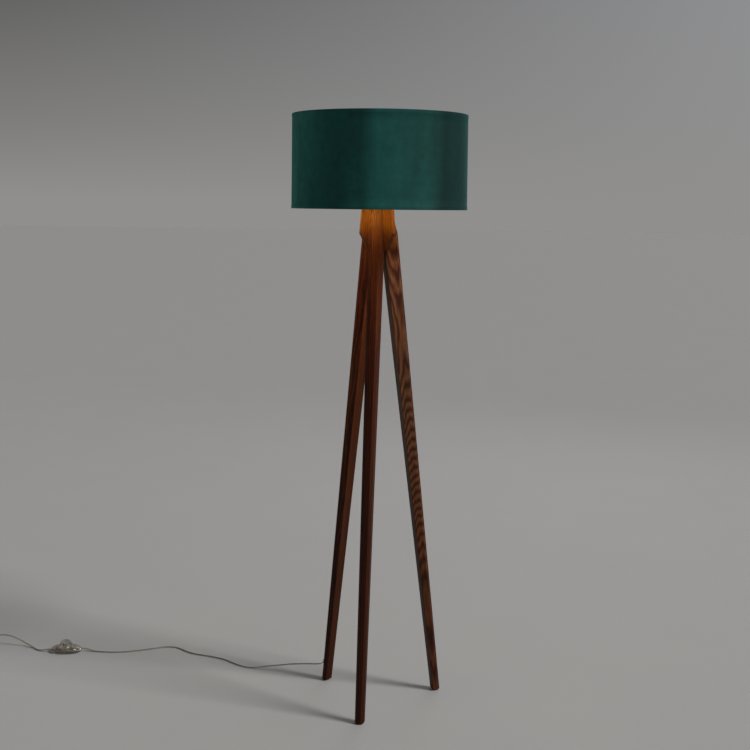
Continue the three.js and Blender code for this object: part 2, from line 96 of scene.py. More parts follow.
def bevel(o, width, segments=3, angle=30):
    m = o.modifiers.new("bevel", "BEVEL")
    m.width = width
    m.segments = segments
    m.limit_method = "ANGLE"
    m.angle_limit = math.radians(angle)
    m.harden_normals = True
    return o


def apply(o):
    """Applies the modifiers of o to its mesh."""
    dg = bpy.context.evaluated_depsgraph_get()
    me = bpy.data.meshes.new_from_object(o.evaluated_get(dg), preserve_all_data_layers=True, depsgraph=dg)
    o.modifiers.clear()
    o.data = me
    return o


def cut(o, *cutters):
    for c in cutters:
        m = o.modifiers.new("cut", "BOOLEAN")
        m.operation = "DIFFERENCE"
        m.solver = "EXACT"
        m.object = c
    bpy.context.view_layer.update()
    apply(o)
    for c in cutters:
        bpy.data.objects.remove(c)
    return o


def turned(name, prof, n=96, mat=None, at=(0, 0), closed=False, bump=None):
    """Solid of revolution about a vertical line; prof in mm as (r, z). closed for a profile that is a loop."""
    verts, rings = [], []
    for r, z in prof:
        if r < 1e-6:
            rings.append([len(verts)])
            verts.append((at[0], at[1], z * MM))
        else:
            ring = []
            for i in range(n):
                a = 2 * math.pi * i / n
                rr = r + (bump(a, r, z) if bump else 0)
                ring.append(len(verts))
                verts.append((at[0] + rr * MM * math.cos(a), at[1] + rr * MM * math.sin(a), z * MM))
            rings.append(ring)
    faces = []
    pairs = list(zip(rings, rings[1:]))
    if closed:
        pairs.append((rings[-1], rings[0]))
    for a, b in pairs:
        if len(a) == 1 and len(b) == 1:
            continue
        for i in range(n):
            j = (i + 1) % n
            if len(a) == 1:
                faces.append((a[0], b[i], b[j]))
            elif len(b) == 1:
                faces.append((a[i], a[j], b[0]))
            else:
                faces.append((a[i], a[j], b[j], b[i]))
    return mesh_obj(name, verts, faces, mat)


def loft(name, rings, mat=None, cap=True, wrap=False):
    """Skin over rings of equal length. wrap joins the last ring back to the first."""
    n = len(rings[0])
    verts = [p for r in rings for p in r]
    faces = []
    k = len(rings)
    for a in range(k if wrap else k - 1):
        b = (a + 1) % k
        for i in range(n):
            j = (i + 1) % n
            faces.append((a * n + i, a * n + j, b * n + j, b * n + i))
    if cap and not wrap:
        faces.append(tuple(range(n)))
        faces.append(tuple((k - 1) * n + i for i in range(n)))
    return mesh_obj(name, verts, faces, mat)


def put(o, body, slot, *nodes):
    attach(o, body)
    if nodes:
        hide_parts(*nodes)
    return o


def catmull(pts, per=14):
    """Smooth line through points (centripetal), with per points on each span."""
    P = [Vector(p) for p in pts]
    P = [P[0] * 2 - P[1]] + P + [P[-1] * 2 - P[-2]]
    out = []
    for i in range(1, len(P) - 2):
        p0, p1, p2, p3 = P[i - 1:i + 3]
        t0 = 0.0
        t1 = t0 + max((p1 - p0).length, 1e-9) ** 0.5
        t2 = t1 + max((p2 - p1).length, 1e-9) ** 0.5
        t3 = t2 + max((p3 - p2).length, 1e-9) ** 0.5
        for s in range(per):
            t = t1 + (t2 - t1) * s / per
            a1 = p0 * ((t1 - t) / (t1 - t0)) + p1 * ((t - t0) / (t1 - t0))
            a2 = p1 * ((t2 - t) / (t2 - t1)) + p2 * ((t - t1) / (t2 - t1))
            a3 = p2 * ((t3 - t) / (t3 - t2)) + p3 * ((t - t2) / (t3 - t2))
            b1 = a1 * ((t2 - t) / (t2 - t0)) + a2 * ((t - t0) / (t2 - t0))
            b2 = a2 * ((t3 - t) / (t3 - t1)) + a3 * ((t - t1) / (t3 - t1))
            out.append(b1 * ((t2 - t) / (t2 - t1)) + b2 * ((t - t1) / (t2 - t1)))
    out.append(P[-2])
    return out


def resample(line, step):
    L = [0.0]
    for a, b in zip(line, line[1:]):
        L.append(L[-1] + (b - a).length)
    n = max(2, round(L[-1] / step))
    out, k = [], 0
    for i in range(n + 1):
        d = L[-1] * i / n
        while k < len(L) - 2 and L[k + 1] < d:
            k += 1
        f = (d - L[k]) / max(L[k + 1] - L[k], 1e-9)
        out.append(line[k].lerp(line[k + 1], min(max(f, 0), 1)))
    return out, L[-1]


def flat_flex(name, line, mat, width=5.2, height=3.1, sides=20, twist=None):
    """Twin flex: two joined round lobes lying flat, swept along line."""
    prof = []
    for i in range(sides):
        a = 2 * math.pi * i / sides
        c, s = math.cos(a), math.sin(a)
        x = c * width / 2
        waist = 1 - 0.20 * math.exp(-(x / 0.55) ** 2)
        y = math.copysign(abs(s) ** 0.8, s) * height / 2 * waist
        prof.append((x * MM, y * MM, c))
    verts, faces, across = [], [], []
    n = len(line)
    up = Vector((0, 0, 1))
    for i, p in enumerate(line):
        t = (line[min(i + 1, n - 1)] - line[max(i - 1, 0)]).normalized()
        side = t.cross(up)
        if side.length < 1e-4:
            side = Vector((1, 0, 0))
        side.normalize()
        nrm = side.cross(t).normalized()
        if twist:
            q = Matrix.Rotation(twist(i / (n - 1)), 3, t)
            side, nrm = q @ side, q @ nrm
        for x, y, c in prof:
            verts.append(p + side * x + nrm * y)
            across.append(c)
    for a in range(n - 1):
        for i in range(sides):
            j = (i + 1) % sides
            faces.append((a * sides + i, a * sides + j, (a + 1) * sides + j, (a + 1) * sides + i))
    faces.append(tuple(range(sides)))
    faces.append(tuple((n - 1) * sides + i for i in range(sides)))
    o = mesh_obj(name, verts, faces, mat)
    at = o.data.attributes.new("across", "FLOAT", "POINT")
    at.data.foreach_set("value", np.array(across, np.float32))
    return o


# --------------------------------------------------------------- materials
def material(name):
    m = bpy.data.materials.new(name)
    m.use_nodes = True
    nt = m.node_tree
    b = nt.nodes["Principled BSDF"]
    return m, nt, b


def N(nt, kind, **kw):
    n = nt.nodes.new(kind)
    for k, v in kw.items():
        setattr(n, k, v)
    return n


def math_node(nt, op, a, b=None, clamp=False):
    n = N(nt, "ShaderNodeMath", operation=op, use_clamp=clamp)
    for i, v in enumerate((a, b)):
        if v is None:
            continue
        if isinstance(v, (int, float)):
            n.inputs[i].default_value = v
        else:
            nt.links.new(v, n.inputs[i])
    return n.outputs[0]


def ramp(nt, fac, stops):
    n = N(nt, "ShaderNodeValToRGB")
    el = n.color_ramp.elements
    while len(el) > 1:
        el.remove(el[-1])
    el[0].position, el[0].color = stops[0][0], (*stops[0][1], 1)
    for p, c in stops[1:]:
        e = el.new(p)
        e.color = (*c, 1)
    nt.links.new(fac, n.inputs[0])
    return n.outputs[0]


def mix(nt, fac, a, b, blend="MIX"):
    n = N(nt, "ShaderNodeMix", data_type="RGBA", blend_type=blend)
    for sock, v in ((n.inputs[0], fac), (n.inputs[6], a), (n.inputs[7], b)):
        if isinstance(v, (int, float)):
            sock.default_value = v
        elif isinstance(v, tuple):
            sock.default_value = (*v, 1) if len(v) == 3 else v
        else:
            nt.links.new(v, sock)
    return n.outputs[2]


def coords(nt, scale=(1, 1, 1), loc=(0, 0, 0)):
    tc = N(nt, "ShaderNodeTexCoord")
    mp = N(nt, "ShaderNodeMapping")
    mp.inputs["Scale"].default_value = scale
    mp.inputs["Location"].default_value = loc
    nt.links.new(tc.outputs["Object"], mp.inputs["Vector"])
    return mp.outputs[0]


def noise_tex(nt, vec, scale, detail=3, rough=0.5, dist=0.0):
    n = N(nt, "ShaderNodeTexNoise")
    n.inputs["Scale"].default_value = scale
    n.inputs["Detail"].default_value = detail
    n.inputs["Roughness"].default_value = rough
    n.inputs["Distortion"].default_value = dist
    nt.links.new(vec, n.inputs["Vector"])
    return n.outputs["Fac"]


def bump_node(nt, height, strength, distance):
    n = N(nt, "ShaderNodeBump")
    n.inputs["Strength"].default_value = strength
    n.inputs["Distance"].default_value = distance
    nt.links.new(height, n.inputs["Height"])
    return n.outputs[0]


def wood(name, seed, heart=(0.02, 0.02), cone=0.012, spacing=0.0034, tone=1.0, contrast=0.5, flame=(0.0, 0.6, 1.1), stain_and_painted_light=()):
    """Stained open-grained hardwood. The tree's axis runs near the object's own Z, so growth rings show as streaks,
    and as stacked arches where flame=(amount, height, length) tilts them. The height table ((height, (r, g, b)), ...)
    multiplies the colour by height, as multipliers of up to 2: partly the stain's own tint, partly painted light, a
    painted warm bulb glow near the hub and painted shade growing darker towards the foot."""
    m, nt, b = material(name)
    rnd = random.Random(seed)
    loc = (0, 0, rnd.uniform(-5, 5))
    raw = N(nt, "ShaderNodeTexCoord").outputs["Object"]
    sep = N(nt, "ShaderNodeSeparateXYZ")
    nt.links.new(raw, sep.inputs[0])
    slow = noise_tex(nt, coords(nt, (14, 14, 2.6), loc), 1.0, 2, 0.5)
    mid = noise_tex(nt, coords(nt, (70, 70, 14), loc), 1.0, 3, 0.55)
    wob = math_node(nt, "MULTIPLY", math_node(nt, "SUBTRACT", slow, 0.5), 0.022)
    wob2 = math_node(nt, "MULTIPLY", math_node(nt, "SUBTRACT", mid, 0.5), 0.0075)
    x = math_node(nt, "ADD", sep.outputs[0], heart[0])
    y = math_node(nt, "ADD", sep.outputs[1], heart[1])
    r = math_node(nt, "SQRT", math_node(nt, "ADD", math_node(nt, "MULTIPLY", x, x), math_node(nt, "MULTIPLY", y, y)))
    r = math_node(nt, "ADD", r, math_node(nt, "MULTIPLY", sep.outputs[2], cone))
    if flame[0]:
        ph = math_node(nt, "MULTIPLY", math_node(nt, "SUBTRACT", sep.outputs[2], flame[1]), 2 * math.pi / flame[2])
        r = math_node(nt, "ADD", r, math_node(nt, "MULTIPLY", math_node(nt, "SINE", ph), flame[0]))
    r = math_node(nt, "ADD", math_node(nt, "ADD", r, wob), wob2)
    ph = math_node(nt, "FRACT", math_node(nt, "DIVIDE", r, spacing))
    rings = ramp(nt, ph, [(0.0, (0.10,) * 3), (0.14, (0.42,) * 3), (0.45, (0.90,) * 3), (0.74, (0.72,) * 3), (0.90, (0.18,) * 3), (1.0, (0.10,) * 3)])
    fibre = noise_tex(nt, coords(nt, (420, 420, 7), loc), 1.0, 4, 0.6)
    fine = noise_tex(nt, coords(nt, (1500, 1500, 26), loc), 1.0, 2, 0.6)
    broad = noise_tex(nt, coords(nt, (40, 40, 2.0), loc), 1.0, 3, 0.55)
    v = math_node(nt, "ADD", math_node(nt, "MULTIPLY", math_node(nt, "SUBTRACT", rings, 0.55), contrast),
                  math_node(nt, "ADD", math_node(nt, "MULTIPLY", fibre, 0.36), math_node(nt, "MULTIPLY", broad, 0.50)))
    v = math_node(nt, "ADD", v, 0.10)
    tone *= 2                                       # the height table's multipliers below (stain tint and painted light) are halved
    col = ramp(nt, v, [(0.16, (0.015 * tone, 0.0034 * tone, 0.0014 * tone)), (0.38, (0.044 * tone, 0.0104 * tone, 0.0038 * tone)),
                       (0.60, (0.098 * tone, 0.0265 * tone, 0.0100 * tone)), (0.86, (0.190 * tone, 0.0700 * tone, 0.0310 * tone))])
    pores = ramp(nt, fine, [(0.36, (0.35,) * 3), (0.46, (1.0,) * 3)])
    col = mix(nt, 0.6, col, pores, "MULTIPLY")
    # painted light: the colour is multiplied by height, with a painted warm glow near the hub and painted shade darker
    # towards the foot, along with the stain's tint
    height = math_node(nt, "DIVIDE", sep.outputs[2], 1.4)
    col = mix(nt, 1.0, col, ramp(nt, height, [(z / 1.4, tuple(c / 2 for c in rgb)) for z, rgb in stain_and_painted_light]), "MULTIPLY")
    nt.links.new(col, b.inputs["Base Color"])
    rough = math_node(nt, "ADD", math_node(nt, "MULTIPLY", fibre, 0.20), 0.40)
    nt.links.new(rough, b.inputs["Roughness"])
    b.inputs["Specular IOR Level"].default_value = 0.11
    h = math_node(nt, "ADD", math_node(nt, "MULTIPLY", fine, 0.5), math_node(nt, "MULTIPLY", fibre, 0.5))
    nt.links.new(bump_node(nt, h, 0.30, 0.0004), b.inputs["Normal"])
    return m


def plastic(name, color, rough=0.4, grain=900, strength=0.08):
    m, nt, b = material(name)
    n = noise_tex(nt, coords(nt, (1, 1, 1)), grain, 2)
    c = mix(nt, n, tuple(x * 0.92 for x in color), tuple(min(1, x * 1.06) for x in color))
    nt.links.new(c, b.inputs["Base Color"])
    nt.links.new(math_node(nt, "ADD", math_node(nt, "MULTIPLY", n, 0.12), rough - 0.06), b.inputs["Roughness"])
    nt.links.new(bump_node(nt, n, strength, 0.0003), b.inputs["Normal"])
    return m


def metal(name, color, rough=0.28, stretch=(1, 1, 1), grain=1400):
    m, nt, b = material(name)
    b.inputs["Metallic"].default_value = 1.0
    n = noise_tex(nt, coords(nt, stretch), grain, 2)
    c = mix(nt, n, tuple(x * 0.86 for x in color), color)
    nt.links.new(c, b.inputs["Base Color"])
    nt.links.new(math_node(nt, "ADD", math_node(nt, "MULTIPLY", n, 0.18), rough - 0.08), b.inputs["Roughness"])
    nt.links.new(bump_node(nt, n, 0.1, 0.0002), b.inputs["Normal"])
    return m


def clear(name, tint=(0.84, 0.81, 0.74), rough=0.08):
    m, nt, b = material(name)
    n = noise_tex(nt, coords(nt, (1, 1, 1)), 160, 2)
    c = mix(nt, n, tuple(x * 0.95 for x in tint), tint)
    nt.links.new(c, b.inputs["Base Color"])
    b.inputs["Transmission Weight"].default_value = 0.97
    b.inputs["IOR"].default_value = 1.46
    nt.links.new(math_node(nt, "ADD", math_node(nt, "MULTIPLY", n, 0.10), rough - 0.04), b.inputs["Roughness"])
    nt.links.new(bump_node(nt, n, 0.10, 0.0004), b.inputs["Normal"])
    return m


def flex_material():
    """Clear twin flex: two brassy cores show through clear insulation."""
    m, nt, b = material("clear_flex")
    at = N(nt, "ShaderNodeAttribute", attribute_name="across")
    d = math_node(nt, "SUBTRACT", math_node(nt, "ABSOLUTE", at.outputs["Fac"]), 0.52)
    core = math_node(nt, "SUBTRACT", 1.0, math_node(nt, "MULTIPLY", math_node(nt, "ABSOLUTE", d), 3.4), True)
    core = ramp(nt, core, [(0.15, (0.0,) * 3), (0.55, (1.0,) * 3)])
    strand = noise_tex(nt, coords(nt, (1, 1, 1)), 1100, 2)
    brass = mix(nt, strand, (0.15, 0.105, 0.055), (0.40, 0.29, 0.16))
    col = mix(nt, core, (0.60, 0.56, 0.48), brass)
    nt.links.new(col, b.inputs["Base Color"])
    trans = math_node(nt, "SUBTRACT", 0.72, math_node(nt, "MULTIPLY", core, 0.66))
    nt.links.new(trans, b.inputs["Transmission Weight"])
    nt.links.new(math_node(nt, "MULTIPLY", core, 0.55), b.inputs["Metallic"])
    b.inputs["Roughness"].default_value = 0.24
    b.inputs["IOR"].default_value = 1.5
    b.inputs["Coat Weight"].default_value = 0.5
    b.inputs["Coat Roughness"].default_value = 0.12
    return m


def velvet():
    """Short-pile velvet with small brushed patches. Round the drum its colour is multiplied by a ramp of painted
    light, partly the pile's own banding: a painted bright band, painted shade in the dark bands and a painted sheen
    strip at one side.
    """
    m, nt, b = material("teal_velvet")
    pile = noise_tex(nt, coords(nt, (1, 1, 0.7)), 1500, 3, 0.6)
    nap = noise_tex(nt, coords(nt, (16, 16, 5)), 1.0, 4, 0.6, 0.4)
    patch = noise_tex(nt, coords(nt, (1, 1, 1.4)), 42, 4, 0.6)
    sep = N(nt, "ShaderNodeSeparateXYZ")
    nt.links.new(N(nt, "ShaderNodeTexCoord").outputs["Object"], sep.inputs[0])
    ang = math_node(nt, "ARCTAN2", sep.outputs[0], math_node(nt, "MULTIPLY", sep.outputs[1], -1))
    turn = math_node(nt, "ADD", math_node(nt, "DIVIDE", ang, 2 * math.pi), 0.5)
    # painted light round the drum: painted highlight band, painted shade bands and a painted sheen strip, partly the
    # pile's own banding
    nap_and_light_band = ramp(nt, turn, [(d / 360 + 0.5, (v,) * 3) for d, v in NAP_AND_PAINTED_LIGHT])
    v = math_node(nt, "ADD", math_node(nt, "MULTIPLY", nap, 0.45), math_node(nt, "ADD", math_node(nt, "MULTIPLY", pile, 0.30), math_node(nt, "MULTIPLY", patch, 0.25)))
    col = ramp(nt, v, [(0.30, (0.0135, 0.094, 0.0840)), (0.52, (0.0240, 0.162, 0.1430)), (0.74, (0.0400, 0.260, 0.2260))])
    col = mix(nt, 1.0, col, nap_and_light_band, "MULTIPLY")
    nt.links.new(col, b.inputs["Base Color"])
    b.inputs["Roughness"].default_value = 0.72
    b.inputs["Specular IOR Level"].default_value = 0.12
    b.inputs["Sheen Weight"].default_value = 0.27
    b.inputs["Sheen Roughness"].default_value = 0.34
    b.inputs["Sheen Tint"].default_value = (0.12, 0.58, 0.54, 1)
    nt.links.new(bump_node(nt, pile, 0.5, 0.0005), b.inputs["Normal"])
    return m


# Brightness by angle round the drum, partly the pile's banding and partly painted light: painted highlight near the
# front, painted shade at -40..-6 and 44..70 degrees, a painted sheen strip near -70..-95 degrees.
NAP_AND_PAINTED_LIGHT = [(-180, 0.45), (-135, 0.62), (-95, 0.97), (-68, 1.0), (-42, 0.60), (-26, 0.45), (-11, 0.36), (-1, 0.59), (14, 0.44), (30, 0.38), (44, 0.15), (70, 0.17), (105, 0.36), (145, 0.34), (180, 0.45)]
# Height multipliers of each wood's colour, partly the stain's tint and partly painted light: a painted warm bulb glow
# near the hub and painted shade darker towards the foot. Each leg has its own table, fitted to how that leg is lit, so
# the legs are lit and shaded copies of one wood.
STAIN_AND_PAINTED_LIGHT_F = ((0.0, (0.58, 0.48, 0.34)), (0.40, (0.50, 0.38, 0.28)), (0.72, (0.62, 0.44, 0.30)), (0.90, (0.80, 0.56, 0.36)), (1.05, (1.15, 0.84, 0.45)), (1.20, (1.10, 0.84, 0.36)), (1.232, (1.14, 1.04, 0.28)), (1.30, (1.38, 1.58, 0.30)))
STAIN_AND_PAINTED_LIGHT_R = ((0.0, (0.44, 0.42, 0.34)), (0.27, (0.38, 0.35, 0.24)), (0.42, (0.60, 0.60, 0.50)), (0.57, (0.74, 0.86, 0.72)), (0.87, (0.88, 1.18, 1.18)), (1.02, (1.08, 1.38, 1.45)), (1.15, (0.96, 1.14, 1.40)), (1.22, (1.00, 1.10, 0.80)), (1.30, (1.15, 1.40, 0.30)))
STAIN_AND_PAINTED_LIGHT_L = ((0.0, (0.54, 0.42, 0.22)), (0.27, (0.52, 0.40, 0.22)), (0.42, (0.64, 0.52, 0.26)), (0.57, (0.84, 0.66, 0.28)), (0.87, (1.15, 0.88, 0.28)), (1.02, (1.75, 1.22, 0.40)), (1.12, (1.15, 0.78, 0.36)), (1.22, (1.15, 0.90, 0.30)), (1.30, (1.38, 1.58, 0.30)))
STAIN_AND_PAINTED_LIGHT_H = ((1.17, (0.92, 0.80, 0.32)), (1.212, (1.10, 1.06, 0.26)), (1.232, (1.42, 1.56, 0.28)), (1.30, (1.55, 1.84, 0.34)))
WOOD_F = wood("wood_front", 3, heart=(-0.030, 0.022), cone=0.010, spacing=0.0036, tone=0.78, contrast=0.36, stain_and_painted_light=STAIN_AND_PAINTED_LIGHT_F)
WOOD_R = wood("wood_right", 11, heart=(0.004, -0.012), cone=0.100, spacing=0.0066, tone=1.20, contrast=0.50, flame=(0.036, 0.58, 1.10), stain_and_painted_light=STAIN_AND_PAINTED_LIGHT_R)
WOOD_L = wood("wood_left", 23, heart=(0.030, 0.030), cone=0.008, spacing=0.0048, tone=0.92, contrast=0.44, stain_and_painted_light=STAIN_AND_PAINTED_LIGHT_L)
WOOD_H = wood("wood_hub", 31, heart=(0.01, 0.06), cone=0.010, spacing=0.0042, tone=1.1, contrast=0.22, stain_and_painted_light=STAIN_AND_PAINTED_LIGHT_H)
VELVET = velvet()
LINER = plastic("cream_liner", (0.80, 0.74, 0.60), 0.5, 300, 0.05)
WHITE = plastic("white_powder_coat", (0.80, 0.79, 0.75), 0.42, 1800, 0.1)
BLACK = plastic("black_plastic", (0.022, 0.022, 0.023), 0.42, 1500, 0.08)
PALE = plastic("pale_plastic", (0.80, 0.76, 0.66), 0.45, 800, 0.05)
STEEL = metal("zinc_plated_steel", (0.62, 0.62, 0.60), 0.32)
BRASS = metal("brass", (0.78, 0.55, 0.24), 0.28)
ALU = metal("bulb_cap_metal", (0.80, 0.80, 0.79), 0.30)
FELT = plastic("black_felt", (0.030, 0.028, 0.026), 0.85, 2600, 0.6)
CLEAR = clear("clear_plastic")
FLEX = flex_material()

# ------------------------------------------------------------------- cords
LAZ = math.radians(-131.6)
RHAT = Vector((math.sin(LAZ), -math.cos(LAZ), 0))


def in_leg(rho, z):
    return Vector((rho * RHAT.x, rho * RHAT.y, z))


EX = in_leg(179.9, 47.3)
EXD = Vector((RHAT.x, RHAT.y, -0.74)).normalized()
SWX, SWY, SWA = -884.0, 300.0, math.radians(5)


def swp(lx, ly, z):
    c, s = math.cos(SWA), math.sin(SWA)
    return Vector((SWX + lx * c - ly * s, SWY + lx * s + ly * c, z))


FZ = 1.65
path1 = [EX - EXD * 6, EX, EX + EXD * 10, (-149, 129.2, 37.2), (-185, 143, 31.4), (-229, 155, 25.4), (-257, 163, 19.6), (-300, 176, 10.4), (-328, 184, 4.0), (-350, 190, FZ), (-373, 202, FZ), (-397, 223, FZ), (-420, 245, FZ), (-446, 261, FZ), (-480, 275, FZ), (-514, 289, FZ), (-538, 306, FZ), (-558, 325, FZ), (-574, 336.5, FZ), (-592, 341, FZ), (-610, 338, FZ), (-633, 327.5, FZ), (-658, 317, FZ), (-684, 307, FZ), (-713, 298, FZ), (-746, 294, FZ), (-780, 296, FZ), (-806, 300, 2.8), swp(58, 0.6, 6.6), swp(50, 0, 7.4), swp(40, 0, 7.5)]
line1, L1 = resample(catmull([Vector(p) * MM for p in path1]), 0.004)
cord1 = flat_flex("flex_leg_to_switch", line1, FLEX)
put(cord1, "stand", "clear_plastic", "cord_1")

COX, COY = -1176.0, 352.0
path2 = [swp(-40, 0, 7.5), swp(-50, 0, 7.3), swp(-58, 0, 6.3), (-956, 299.5, 3.0), (-969, 307.5, FZ), (-986, 323, 3.2), (-1008, 335, 10), (-1030, 339.5, 20), (-1052, 341.5, 28), (-1076, 343, 31), (-1100, 346, 26.5), (-1122, 354, 19.5), (-1143, 366.5, 13.6), (-1158, 375.5, 10.2)]
coil = []
# counter-clockwise turns, from the top layer down to the lowest outer one
turns = [(28.0, 8.6), (25.3, 5.0), (30.7, 5.0), (25.3, 1.7), (30.7, 1.7)]
steps = 16
start = 90.0
for k, (r, z) in enumerate(turns):
    rn, zn = turns[min(k + 1, len(turns) - 1)]
    last = k == len(turns) - 1
    for i in range(steps if not last else steps - 1):
        f = i / steps
        g = 0 if f < 0.72 or last else (f - 0.72) / 0.28
        g = g * g * (3 - 2 * g)
        a = math.radians(start + 360 * f)
        rr, zz = r + (rn - r) * g, z + (zn - z) * g
        coil.append((COX + rr * math.cos(a), COY + rr * math.sin(a), zz))
# the last turn stops short and leads to the plug
tail = [(-1158.5, 379.9, 2.4), (-1169, 386.6, 4.2), (-1181, 390.6, 6.1), (-1190, 391.5, 6.9), (-1196, 391.5, 7.0)]
line2, L2 = resample(catmull([Vector(p) * MM for p in path2 + coil + tail]), 0.004)
cord2 = flat_flex("flex_switch_to_plug", line2, FLEX)
put(cord2, "stand", "clear_plastic", "cord_2", "cord_3", "cord_coil")

# ------------------------------------------------------------------- stage
floor_m, nt, b = material("pale_floor")
n = noise_tex(nt, coords(nt, (1, 1, 1)), 3.0, 4)
nt.links.new(mix(nt, n, (0.405, 0.403, 0.398), (0.425, 0.422, 0.416)), b.inputs["Base Color"])
b.inputs["Roughness"].default_value = 0.6
b.inputs["Specular IOR Level"].default_value = 0.2
floor = mesh_obj("floor", [(-60, -60, 0), (60, -60, 0), (60, 60, 0), (-60, 60, 0)], [(0, 1, 2, 3)], floor_m, False, False)

# ------------------------------------------------------------------ lights
world = bpy.data.worlds.new("world")
scene.world = world
world.use_nodes = True
wt = world.node_tree
bg = wt.nodes["Background"]
sep = N(wt, "ShaderNodeSeparateXYZ")
wt.links.new(N(wt, "ShaderNodeTexCoord").outputs["Generated"], sep.inputs[0])
side = math_node(wt, "ADD", math_node(wt, "MULTIPLY", sep.outputs[0], 0.5), 0.5)
sky = ramp(wt, side, [(0.0, (0.070, 0.069, 0.067)), (0.36, (0.125, 0.124, 0.122)), (0.50, (0.190, 0.190, 0.192)), (0.64, (0.270, 0.272, 0.280)), (1.0, (0.340, 0.344, 0.356))])
haze = ramp(wt, sep.outputs[2], [(0.0, (0.0,) * 3), (0.06, (0.45,) * 3), (0.16, (1.0,) * 3)])
wt.links.new(mix(wt, haze, (0.279, 0.275, 0.268), sky), bg.inputs[0])
bg.inputs[1].default_value = 1.0


def area(name, loc, target, size, watts, color):
    l = bpy.data.lights.new(name, "AREA")
    l.shape = "SQUARE"
    l.size = size
    l.energy = watts
    l.color = color
    o = link(bpy.data.objects.new(name, l))
    o.location = loc
    o.rotation_euler = (Vector(target) - Vector(loc)).to_track_quat("-Z", "Y").to_euler()
    return o


sun = bpy.data.lights.new("window", "SUN")
sun.energy = 2.45
sun.angle = math.radians(17)
sun.color = (1.0, 0.985, 0.965)
so = link(bpy.data.objects.new("window", sun))
SUN_AZ, SUN_EL = math.radians(67), math.radians(38)
so.rotation_euler = Vector((-math.sin(SUN_AZ) * math.cos(SUN_EL), math.cos(SUN_AZ) * math.cos(SUN_EL), -math.sin(SUN_EL))).to_track_quat("-Z", "Y").to_euler()
area("back", (1.2, 3.2, 2.8), (0, 0, 0.9), 1.8, 14, (1.0, 0.98, 0.95))
glow = bpy.data.lights.new("bulb_light", "POINT")
glow.energy = 1.5
glow.shadow_soft_size = 0.029
glow.color = (1.0, 0.74, 0.40)
go = link(bpy.data.objects.new("bulb_light", glow))
go.location = (0, 0, 1.402)
# warm light that the shade's lining sends down onto the hub
for k in range(6):
    l = bpy.data.lights.new("lining_glow_%d" % (k + 1), "SPOT")
    l.energy = 1.0
    l.color = (1.0, 0.76, 0.22)
    l.spot_size = math.radians(66)
    l.spot_blend = 1.0
    l.shadow_soft_size = 0.03
    a = math.radians(-11.6 + 30 + 60 * k)
    p = Vector((0.100 * math.sin(a), -0.100 * math.cos(a), 1.324))
    o = link(bpy.data.objects.new(l.name, l))
    o.location = p
    o.rotation_euler = (Vector((0.036 * math.sin(a), -0.036 * math.cos(a), 1.230)) - p).to_track_quat("-Z", "Y").to_euler()
scene.view_settings.view_transform = "Standard"

# ------------------------------------------------------ CAD nodes that stay
SLOT_MAT = {"wood": WOOD_F, "velvet": VELVET, "liner": LINER, "white_wire": WHITE, "black_plastic": BLACK, "pale_plastic": PALE,
            "steel": STEEL, "brass": BRASS, "bulb_cap": ALU, "glide_felt": FELT, "clear_plastic": CLEAR}
slot_of = {s["node"]: s["material_slot"] for s in frame["record"]["subparts"]}
for name, o in NODES.items():
    m = SLOT_MAT.get(slot_of[name])
    if m is not None:
        o.data.materials.clear()
        o.data.materials.append(m)
NODES["internal_lead"].data.materials[0] = PALE

# -------------------------------------------------------------- legs, hub
AZ = {"front": -11.6, "right": 108.4, "left": -131.6}
FOOT_R, LEAN = 184.0, -0.1121
EQ, HEAD_TOP = 1217.0, 1284.0


def place(rho, az, t=0.0):
    a = math.radians(az)
    return rho * math.sin(a) + t * math.cos(a), -rho * math.cos(a) + t * math.sin(a)


def leg_outer(z):
    return FOOT_R + LEAN * z if z <= EQ else FOOT_R + LEAN * EQ - 0.27 * (z - EQ)


def leg_ring(z, az):
    ro = leg_outer(z)
    ri = max(ro - (20.5 + 0.0172 * z), 13.0)
    w = (23 + 0.0098 * z) / 2
    c = min(6.8, (ro - ri) * 0.4)
    out = []
    for r, t in [(ro, -(w - c)), (ro, w - c), (ro - c, w), (ri, w), (ri, -w), (ro - c, -w)]:
        x, y = place(r, az, t)
        out.append(Vector((x, y, z)) * MM)
    return out


for side, mat in (("front", WOOD_F), ("right", WOOD_R), ("left", WOOD_L)):
    az = AZ[side]
    rings = [leg_ring(z, az) for z in (3, 320, 640, 960, 1165.5, EQ, HEAD_TOP)]
    # own frame: z along the leg, x outwards
    foot = Vector((*place(FOOT_R - 10, az), 0)) * MM
    rh = Vector((math.sin(math.radians(az)), -math.cos(math.radians(az)), 0))
    d = (Vector((0, 0, 1)) + rh * LEAN).normalized()
    t = d.cross(rh).normalized()
    x = t.cross(d).normalized()
    M = Matrix(((x.x, t.x, d.x, foot.x), (x.y, t.y, d.y, foot.y), (x.z, t.z, d.z, foot.z), (0, 0, 0, 1)))
    inv = M.inverted()
    leg = loft("wooden_leg_" + side, [[inv @ p for p in r] for r in rings], mat)
    leg.matrix_world = M
    bevel(leg, 0.0011, 3, 20)
    bpy.context.view_layer.update()
    if side == "left":
        apply(leg)
        a, e = EX - EXD * 16, EX + EXD * 12
        bpy.ops.mesh.primitive_cylinder_add(vertices=40, radius=4.6 * MM, depth=28 * MM, location=(a + e) / 2 * MM)
        c = bpy.context.object
        c.rotation_euler = EXD.to_track_quat("Z", "Y").to_euler()
        cut(leg, c)
        leg.data.shade_smooth()
        w = leg.modifiers.new("normals", "WEIGHTED_NORMAL")
    put(leg, "stand", "wood", "leg_" + side)


def hub_ring(z, al, asx):
    v = (2 * asx - al) / math.sqrt(3)
    out = []
    for az in (AZ["front"], AZ["right"], AZ["left"]):
        for t in (-v, v):
            x, y = place(al, az, t)
            out.append(Vector((x, y, z)) * MM)
    return out


